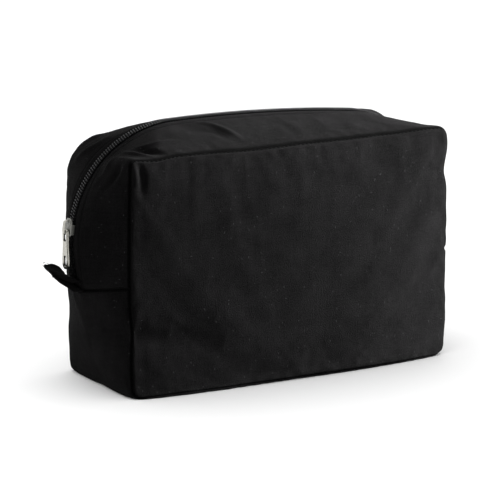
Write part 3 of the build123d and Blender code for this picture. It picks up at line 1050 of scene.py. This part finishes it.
def make_puller(name):
    """The flat puller on its pin: narrow neck, wider rounded foot, a slot round the cap and a hole."""
    outlines = [puller_outline(PULLER_PIVOT[2] - puller_foot_z), oval(*SLOT)[::-1], oval(*HOLE)[::-1]]
    plate = stamped(name, outlines, PULLER_THICKNESS, PULLER_BEVEL)
    pin_line = np.linspace((0, -PIN_HALF_LENGTH, 0), (0, PIN_HALF_LENGTH, 0), 9)
    pin = wire_mesh(name + "_pin", pin_line, PIN_RADIUS, 16, (0.0, 0.0, 1.0))
    piece = join(name, [plate, pin])
    punched = []
    for face in piece.data.polygons:
        x, y = face.center.x / MM, face.center.y / MM
        punched.append(any(low < x < high and abs(y) < half for low, high, half in PUNCHED_WALLS))
    write_values(piece.data, "punched", punched, "FACE")
    hang_down = Matrix.Rotation(math.pi / 2, 4, "Y")
    piece.data.transform(Matrix.Translation(Vector(PULLER_PIVOT) * MM) @ hang_down)
    return piece


# =============================================================== tab


TAB_HALF_WIDTH = 9.0
TAB_LAYER = 0.72
TAB_OPENING = 1.7
TAB_ROLL = 0.44
TAB_REACH = 0.8
TAB_STITCH_INSET = 1.9
TAB_ROUTE = (
    (-135.8, 66.4),
    (-139.4, 70.2),
    (-143.8, 74.4),
    (-148.5, 77.1),
    (-153.0, 79.1),
    (-156.8, 81.2),
)


def tab_loop(opened=1.0, count=110):
    """The middle of the tab's cloth: out along its underside, round its tip and back along its top."""
    middle = Path(smooth_line(TAB_ROUTE, 100))
    share = np.linspace(0, 1, count)
    centre, up = middle.at(share), middle.normal(share)
    up = np.where(up[:, 1:] < 0, -up, up)
    gap = TAB_LAYER - 0.06 + TAB_OPENING * opened * np.sin(np.pi * np.clip(share / 0.9, 0, 1)) ** 0.9
    gap *= np.sqrt(np.clip(1 - np.clip((share - 0.95) / 0.05, 0, 1) ** 2, 0, 1))
    under = centre - up * gap[:, None]
    over = centre + up * gap[:, None]
    return np.concatenate([under, over[::-1][1:]])


def rolled(points):
    """The tab's points, with its far edge lifted and its near edge lowered away from its root."""
    reach = np.clip((TAB_ROUTE[1][0] + 1.0 - points[..., 0]) / 6.5, 0, 1)
    aside = points[..., 1] * np.abs(points[..., 1]) / TAB_HALF_WIDTH
    return points + (TAB_ROLL * aside * smoothstep(reach))[..., None] * (0, 0, 1)


def make_tab(name):
    """The tab: a strip of canvas with turned-in edges, folded into a loop that gapes at its front edge."""
    loop = Path(tab_loop())
    wide, thick = section(36, 0.28, 0.6)
    tip = bump(loop.shares, 0.5, 0.075)
    y = (TAB_HALF_WIDTH - 2.6 * tip + 0.25 * np.sin(loop.shares * 11.0))[:, None] * wide[None]
    opened = np.clip(-wide, 0, 1) ** 0.8
    centre = np.stack([tab_loop(share) for share in opened], 1)
    rise = TAB_LAYER * np.broadcast_to(thick, y.shape)
    rise = rise + 0.16 * soft_noise(stand(centre, y), 13.0, 21)
    out = loop.normal(loop.shares, TAB_REACH)
    faces = tube_faces(len(loop.points), len(wide))
    mesh = smooth_mesh(name, rolled(stand(centre + out[:, None] * rise[..., None], y)), faces)
    steps = np.abs(np.diff(wide)) * TAB_HALF_WIDTH + np.abs(np.diff(thick)) * TAB_LAYER
    v, u = np.meshgrid(loop.lengths, np.concatenate([[0], np.cumsum(steps)]), indexing="ij")
    write_cloth_place(mesh, np.stack([u, v], -1), [corner for face in faces for corner in face])
    write_values(mesh, "worn", np.broadcast_to(np.abs(wide) ** 18, y.shape))
    return new_object(name, mesh)


def make_tab_stitches(name):
    """Two rows of stitches along the tab, on the outside of the loop."""
    share = np.linspace(0.06, 0.94, 120)
    meshes = []
    for side, opened in ((-1, 0.83), (1, 0.0)):
        y = side * (TAB_HALF_WIDTH - TAB_STITCH_INSET)
        loop = Path(tab_loop(opened))
        out = loop.normal(share, TAB_REACH)
        if np.sum(out[0] * (loop.at(0.06) - loop.at(0.94))) < 0:
            out = -out
        line = rolled(stand(loop.at(share) + out * (TAB_LAYER - 0.05), y))
        row = stitch_row(name, line, stand(out, 0.0), TOP_STITCH, 0.1)
        meshes.append(row.data)
        bpy.data.objects.remove(row)
    return join(name, meshes)


# =============================================================== materials


class Shader:
    """A material's node tree, with short ways to add to it."""

    def __init__(self, name, **sockets):
        self.material = bpy.data.materials.new(name)
        self.material.use_nodes = True
        self.tree = self.material.node_tree
        self.surface = self.tree.nodes["Principled BSDF"]
        for socket, value in sockets.items():
            self.surface.inputs[socket.replace("_", " ")].default_value = value

    def node(self, kind, inputs, **settings):
        node = self.tree.nodes.new(kind)
        for setting, value in settings.items():
            setattr(node, setting, value)
        for socket, value in inputs.items():
            if isinstance(value, bpy.types.NodeSocket):
                self.tree.links.new(value, node.inputs[socket])
            else:
                node.inputs[socket].default_value = value
        return node

    def math(self, operation, *values):
        return self.node("ShaderNodeMath", dict(enumerate(values)), operation=operation).outputs[0]

    def cloth_coordinates(self):
        """Place on the flat cloth, in metres."""
        return self.node("ShaderNodeUVMap", {}, uv_map="cloth").outputs["UV"]

    def place(self):
        """Place in space, in metres."""
        return self.node("ShaderNodeTexCoord", {}).outputs["Object"]

    def stretch(self, vector, scale):
        return self.node("ShaderNodeMapping", {"Vector": vector, "Scale": scale}).outputs["Vector"]

    def noise(self, vector, scale, detail=2.0, roughness=0.5):
        inputs = {"Vector": vector, "Scale": scale, "Detail": detail, "Roughness": roughness}
        return self.node("ShaderNodeTexNoise", inputs).outputs["Fac"]

    def patches(self, vector, scale, detail=3.0, low=0.3):
        """Soft patches of 0 and 1."""
        return self.range(self.noise(vector, scale, detail), low, 0.7)

    def waves(self, vector, scale, distortion):
        inputs = {"Vector": vector, "Scale": scale, "Distortion": distortion}
        return self.node("ShaderNodeTexWave", inputs).outputs["Fac"]

    def range(self, value, low, high, to_low=0.0, to_high=1.0):
        """A value moved from one range to another, held at its ends."""
        inputs = {"Value": value, "From Min": low, "From Max": high, "To Min": to_low, "To Max": to_high}
        return self.node("ShaderNodeMapRange", inputs, interpolation_type="SMOOTHSTEP").outputs["Result"]

    def mix(self, factor, dark, light):
        """A colour from dark, at a factor of 0, to light, at 1."""
        node = self.node("ShaderNodeMix", {"Factor": factor}, data_type="RGBA")
        sockets = [socket for socket in node.inputs if socket.type == "RGBA"]
        for socket, colour in zip(sockets, (dark, light)):
            if isinstance(colour, bpy.types.NodeSocket):
                self.tree.links.new(colour, socket)
            else:
                socket.default_value = (*colour, 1.0)
        return next(socket for socket in node.outputs if socket.type == "RGBA")

    def weighted(self, *parts):
        """Sum of some values, each times its weight."""
        total = self.math("MULTIPLY", *parts[0])
        for value, weight in parts[1:]:
            total = self.math("ADD", total, self.math("MULTIPLY", value, weight))
        return total

    def attribute(self, name):
        return self.node("ShaderNodeAttribute", {}, attribute_name=name).outputs["Fac"]

    def finish(self, colour, roughness, height, distance, strength=1.0):
        """Joins a colour, a roughness and a bump height in metres to the surface."""
        inputs = {"Height": height, "Distance": distance, "Strength": strength}
        normal = self.node("ShaderNodeBump", inputs).outputs["Normal"]
        for socket, value in (("Base Color", colour), ("Roughness", roughness), ("Normal", normal)):
            self.tree.links.new(value, self.surface.inputs[socket])
        return self.material


def weave(shader, cloth, yarn, unevenness):
    """Height of a plain weave: warp and weft yarns that pass over each other in turn, slightly uneven."""
    drift = shader.noise(cloth, 260.0, 1.0)
    drift = shader.math("MULTIPLY", shader.math("SUBTRACT", drift, 0.5), unevenness)
    split = shader.node("ShaderNodeSeparateXYZ", {"Vector": cloth})
    waves = []
    for axis in ("X", "Y"):
        moved = shader.math("ADD", split.outputs[axis], drift)
        waves.append(shader.math("SINE", shader.math("MULTIPLY", moved, math.pi / yarn)))
    over = shader.math("MULTIPLY", *waves)
    warp = shader.math("MULTIPLY", shader.math("ABSOLUTE", waves[0]), shader.math("ADD", over, 1.0))
    weft = shader.math("MULTIPLY", shader.math("ABSOLUTE", waves[1]), shader.math("SUBTRACT", 1.0, over))
    return shader.math("MULTIPLY", shader.math("ADD", warp, weft), 0.5)


def lint(shader, vector, scale, reach, share):
    """Small fibres scattered over the cloth: 1 on a fibre, 0 elsewhere."""
    inputs = {"Vector": vector, "Scale": scale, "Randomness": 1.0}
    cells = shader.node("ShaderNodeTexVoronoi", inputs, feature="F1")
    near = shader.range(cells.outputs["Distance"], reach, reach * 0.35)
    chance = shader.node("ShaderNodeSeparateXYZ", {"Vector": cells.outputs["Color"]}).outputs["X"]
    return shader.math("MULTIPLY", near, shader.range(chance, 1 - share, 1 - share * 0.5))


CANVAS_YARN = 0.00056
WORN_LIGHT = 0.1
LINT_GREY = (0.026, 0.026, 0.027)
# Painted shade: the colour of the cloth down in the seams' grooves.
PAINTED_SEAM_SHADE = (0.0002, 0.0002, 0.0002)
# Painted shade for the walls of the puller's slot and hole.
PAINTED_HOLE_SHADE = (0.02, 0.02, 0.018)


def canvas_material(name, dark, light):
    """Black cotton canvas: plain weave, uneven yarns, faded rolled edges, painted shade down in the seams
    and specks of lint.
    """
    shader = Shader(name, Sheen_Weight=0.008, Sheen_Roughness=0.5, Specular_IOR_Level=0.015)
    cloth = shader.cloth_coordinates()
    height = weave(shader, cloth, CANVAS_YARN, 0.00022)
    warp_streaks = shader.noise(shader.stretch(cloth, (1.0, 0.035, 1.0)), 1500.0, 3.0, 0.65)
    weft_streaks = shader.noise(shader.stretch(cloth, (0.035, 1.0, 1.0)), 1300.0, 3.0, 0.65)
    streaks = shader.math("ADD", warp_streaks, shader.math("MULTIPLY", weft_streaks, 0.7))
    streaks = shader.range(streaks, 0.66, 1.06)
    mottle = shader.range(shader.noise(shader.place(), 55.0, 4.0, 0.6), 0.3, 0.72)
    fuzz = shader.range(shader.noise(cloth, 1150.0, 3.0, 0.6), 0.36, 0.66)
    # Above 0 the attribute is the cloth's wear; under 0 it is painted shade in the seams.
    worn = shader.attribute("worn")
    faded = shader.math("MULTIPLY", shader.math("MAXIMUM", worn, 0.0), WORN_LIGHT)
    patchy = shader.patches(cloth, 700.0, low=0.25)
    shade = shader.weighted((streaks, 0.24), (mottle, 0.34), (fuzz, 0.42), (height, 0.16), (faded, patchy))
    fibres = shader.math(
        "MAXIMUM",
        lint(shader, shader.stretch(cloth, (1.0, 0.32, 1.0)), 420.0, 0.13, 0.6),
        lint(shader, shader.stretch(cloth, (0.4, 1.0, 1.0)), 300.0, 0.10, 0.5),
    )
    colour = shader.mix(shade, dark, light)
    colour = shader.mix(shader.math("MULTIPLY", fibres, 0.75), colour, LINT_GREY)
    # Painted shade down in the seams.
    colour = shader.mix(shader.range(worn, 0.0, -1.0), colour, PAINTED_SEAM_SHADE)
    roughness = shader.range(shade, 0.0, 1.0, 0.95, 0.8)
    bumps = shader.weighted((height, 1.0), (streaks, 0.12), (fuzz, 0.5), (fibres, 0.8))
    return shader.finish(colour, roughness, bumps, 0.00028, 0.9)


def tape_material(name):
    """Herringbone zip tape: fine polyester ribs with a slight shine."""
    shader = Shader(name, Specular_IOR_Level=0.08)
    cloth = shader.cloth_coordinates()
    height = weave(shader, cloth, 0.0003, 0.00006)
    shade = shader.patches(cloth, 1400.0)
    shade = shader.weighted((shade, 0.5), (height, 0.5))
    colour = shader.mix(shade, (0.0015, 0.0015, 0.0017), (0.005, 0.005, 0.0054))
    return shader.finish(colour, shader.range(shade, 0.0, 1.0, 0.75, 0.6), height, 0.00008)


def binding_material(name):
    """Woven edge binding inside the bag, ribbed across its length."""
    shader = Shader(name, Specular_IOR_Level=0.1)
    place = shader.cloth_coordinates()
    ribs = shader.waves(place, 420.0, 0.6)
    patches = shader.patches(place, 300.0)
    shade = shader.weighted((ribs, 0.5), (patches, 0.5))
    colour = shader.mix(shade, (0.005, 0.005, 0.0055), (0.017, 0.017, 0.018))
    return shader.finish(colour, shader.range(shade, 0.0, 1.0, 0.9, 0.75), ribs, 0.00008)


def thread_material(name):
    """Black polyester thread: twisted plies with a soft shine."""
    shader = Shader(name, Specular_IOR_Level=0.04)
    place = shader.place()
    twist = shader.waves(place, 900.0, 1.5)
    patches = shader.patches(place, 900.0, 2.0)
    shade = shader.weighted((twist, 0.6), (patches, 0.4))
    colour = shader.mix(shade, (0.0005, 0.0005, 0.0006), (0.0022, 0.0022, 0.0024))
    return shader.finish(colour, shader.range(shade, 0.0, 1.0, 0.75, 0.6), twist, 0.00004)


def nylon_material(name):
    """Black nylon coil, with a painted highlight along the tops of its loops above the slider."""
    shader = Shader(name, Specular_IOR_Level=0.06)
    place = shader.place()
    uneven_patches = shader.patches(place, 450.0)
    fine = shader.noise(place, 5000.0, 2.0)
    painted_highlight = shader.math("MULTIPLY", shader.attribute("worn"), shader.range(uneven_patches, 0.0, 1.0, 0.6, 1.0))
    # The lighter colour on the loops' tops is a painted highlight.
    colour = shader.mix(painted_highlight, (0.0012, 0.0012, 0.0014), (0.085, 0.085, 0.088))
    return shader.finish(colour, shader.range(uneven_patches, 0.0, 1.0, 0.6, 0.45), fine, 0.00001)


def nickel_material(name, tint, roughness):
    """Plated metal: fine scratches and cloudy patches, with painted shade on the walls of its punched
    holes.
    """
    shader = Shader(name, Metallic=1.0)
    place = shader.place()
    clouds = shader.range(shader.noise(place, 380.0, 4.0, 0.6), 0.35, 0.75)
    scratches = shader.noise(shader.stretch(place, (1.0, 1.0, 0.08)), 9000.0, 2.0, 0.6)
    colour = shader.mix(clouds, tint, tuple(0.86 * part for part in tint))
    # Painted shade on the punched walls.
    colour = shader.mix(shader.attribute("punched"), colour, PAINTED_HOLE_SHADE)
    rough = shader.range(clouds, 0.0, 1.0, roughness, roughness + 0.13)
    return shader.finish(colour, rough, scratches, 0.000008, 0.6)


def stage_material(name, colour):
    shader = Shader(name, Roughness=0.85)
    shader.surface.inputs["Base Color"].default_value = (*colour, 1.0)
    return shader.material


CANVAS_BLACK = canvas_material("canvas_black", (0.0001, 0.0001, 0.0001), (0.0044, 0.0042, 0.0044))
ZIP_TAPE = tape_material("zip_tape_black")
EDGE_BINDING = binding_material("edge_binding")
THREAD = thread_material("black_thread")
NYLON = nylon_material("nylon_black")
NICKEL = nickel_material("nickel_warm", (0.44, 0.43, 0.39), 0.25)
# A darker copy of the nickel: painted shade and dark reflection for the slider's body, which sits deep
# between the coils.
SHADED_NICKEL = nickel_material("nickel_painted_shade", (0.2, 0.2, 0.185), 0.35)
SPRING_STEEL = nickel_material("spring_steel", (0.62, 0.62, 0.63), 0.3)


# =============================================================== the bag, piece by piece


def dress(piece, material, body, slot, *nodes):
    """Gives a piece its material, the body it rides on and the CAD nodes it stands for; the slot is not
    used.
    """
    piece.data.materials.clear()
    piece.data.materials.append(material)
    if body:
        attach(piece, body)
    if nodes:
        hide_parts(*nodes)
    return piece


def sew_seam(name, side):
    """Stitches that show in the groove between a panel and the gusset."""
    outline = OUTLINES[side]
    path = Path(outline.loop)
    share = np.linspace(0, 1, 1200)
    outward = stand(read_line(share, path.shares, outline.loop_out), side) / math.sqrt(2)
    bow = np.interp(share, path.shares, outline.loop_bow)
    line = stand(path.at(share), side * (SEAM_Y + bow)) - outward * (GROOVE_DEPTH - 0.35)
    return stitch_row(name, line, outward, SEAM_STITCH, 0.16, 0.2, 0.17)


def build_cloth():
    for side, end in SIDES:
        panel = thicken(make_panel(end + "_panel_cloth", side), CLOTH)
        dress(panel, CANVAS_BLACK, "bag", "canvas", end + "_panel")
        strip, (line, outward) = make_strip(f"zip_strip_{end}_cloth", side)
        dress(thicken(strip, STRIP_CLOTH), CANVAS_BLACK, "bag", "canvas", "zip_strip_" + end)
        stitches = stitch_row(f"zip_topstitch_{end}", line[4:-4], outward[4:-4], TOP_STITCH, 0.16)
        dress(stitches, THREAD, "bag", "canvas")
        dress(sew_seam(f"seam_stitching_{end}", side), THREAD, "bag", "canvas")
    lower = thicken(make_lower("lower_gusset_cloth"), CLOTH)
    dress(lower, CANVAS_BLACK, "bag", "canvas", "lower_gusset")
    for side, end in SIDES:
        binding = make_seam_binding(f"seam_binding_{end}_tape", side)
        dress(thicken(binding, BINDING), EDGE_BINDING, "bag", "binding", "seam_binding_" + end)
    for end, word in ((-1, "left"), (1, "right")):
        binding = make_end_binding(f"end_binding_{word}_tape", end)
        dress(thicken(binding, BINDING), EDGE_BINDING, "bag", "binding", "end_binding_" + word)


def build_zip():
    for side, end in SIDES:
        tape = thicken(make_tape(f"zip_tape_{end}_woven", side), TAPE_CLOTH)
        dress(tape, ZIP_TAPE, "bag", "zip_tape", "zip_tape_" + end)
        dress(make_coil(f"zip_coil_{end}_wire", side), NYLON, "bag", "zip_coil", "zip_coil_" + end)
        dress(make_coil_thread(f"zip_coil_{end}_thread", side), THREAD, "bag", "zip_coil")


def build_slider():
    # The slider's body gets the darker copy of the nickel, painted shade.
    for node, material in (("slider_body", SHADED_NICKEL), ("slider_lock_spring", SPRING_STEEL)):
        frame["nodes"][node].data.materials.clear()
        frame["nodes"][node].data.materials.append(material)
    dress(make_crown("slider_crown_cap"), NICKEL, "slider", "nickel", "slider_crown")
    dress(make_puller("puller_plate"), NICKEL, "puller", "nickel", "puller")


def build_tab():
    tab = dress(make_tab("pull_tab_loop"), CANVAS_BLACK, None, "canvas", "pull_tab", "pull_tab_root")
    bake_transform(tab)
    rows = dress(make_tab_stitches("pull_tab_stitching"), THREAD, None, "canvas")
    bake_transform(rows)


build_cloth()
build_zip()
build_slider()
build_tab()

# =============================================================== studio


FLOOR_REACH = 6.0
FLOOR_WHITE = (0.9, 0.9, 0.9)
SKY_STRENGTH = 1.12

# Place, the point it faces, size and power.
KEY_LIGHT = ((1.37, -0.33, 0.575), (0, 0, 0.08), 0.8, 238)
FLOOR_LIGHT = ((0, 0, 2.5), (0, 0, 0), 2.5, 22)

CAMERA_AZIMUTH = math.radians(-30.07)
CAMERA_ELEVATION = math.radians(12.18)
CAMERA_DISTANCE = 1.8
CAMERA_TARGET = (-0.00748, 0, 0.07807)
CAMERA_SENSOR = 36.0
CAMERA_LENS = 193.8


def make_floor():
    mesh = bpy.data.meshes.new("floor")
    corners = [(x * FLOOR_REACH, y * FLOOR_REACH, 0) for x, y in ((-1, -1), (1, -1), (1, 1), (-1, 1))]
    mesh.from_pydata(corners, [], [(0, 1, 2, 3)])
    floor = new_object("floor", mesh)
    floor.data.materials.append(stage_material("floor_paper", FLOOR_WHITE))
    return floor


def make_world():
    world = bpy.data.worlds.new("studio")
    bpy.context.scene.world = world
    world.use_nodes = True
    world.node_tree.nodes["Background"].inputs["Color"].default_value = (1, 1, 1, 1)
    world.node_tree.nodes["Background"].inputs["Strength"].default_value = SKY_STRENGTH


def area_light(name, place, target, size, power):
    data = bpy.data.lights.new(name, "AREA")
    data.size = size
    data.energy = power
    light = new_object(name, data)
    light.location = place
    direction = Vector(target) - Vector(place)
    light.rotation_euler = direction.to_track_quat("-Z", "Y").to_euler()
    return light


def light_only(light, pieces):
    """Keeps a light to the pieces given, so that the bag and the floor are each lit by their own."""
    lit = bpy.data.collections.new(light.name + "_receivers")
    for piece in pieces:
        lit.objects.link(piece)
    light.light_linking.receiver_collection = lit


def camera():
    level = math.cos(CAMERA_ELEVATION)
    back = Vector(
        (math.sin(CAMERA_AZIMUTH) * level, -math.cos(CAMERA_AZIMUTH) * level, math.sin(CAMERA_ELEVATION))
    )
    data = bpy.data.cameras.new("camera")
    data.sensor_width = CAMERA_SENSOR
    data.lens = CAMERA_LENS
    eye = new_object("camera", data)
    eye.location = Vector(CAMERA_TARGET) + back * CAMERA_DISTANCE
    eye.rotation_euler = (-back).to_track_quat("-Z", "Y").to_euler()
    bpy.context.scene.camera = eye


bag_pieces = [piece for piece in bpy.data.objects if piece.type == "MESH"]
floor = make_floor()
make_world()
light_only(area_light("key", *KEY_LIGHT), bag_pieces)
light_only(area_light("floor_wash", *FLOOR_LIGHT), [floor])
camera()
bpy.context.scene.view_settings.view_transform = "Standard"
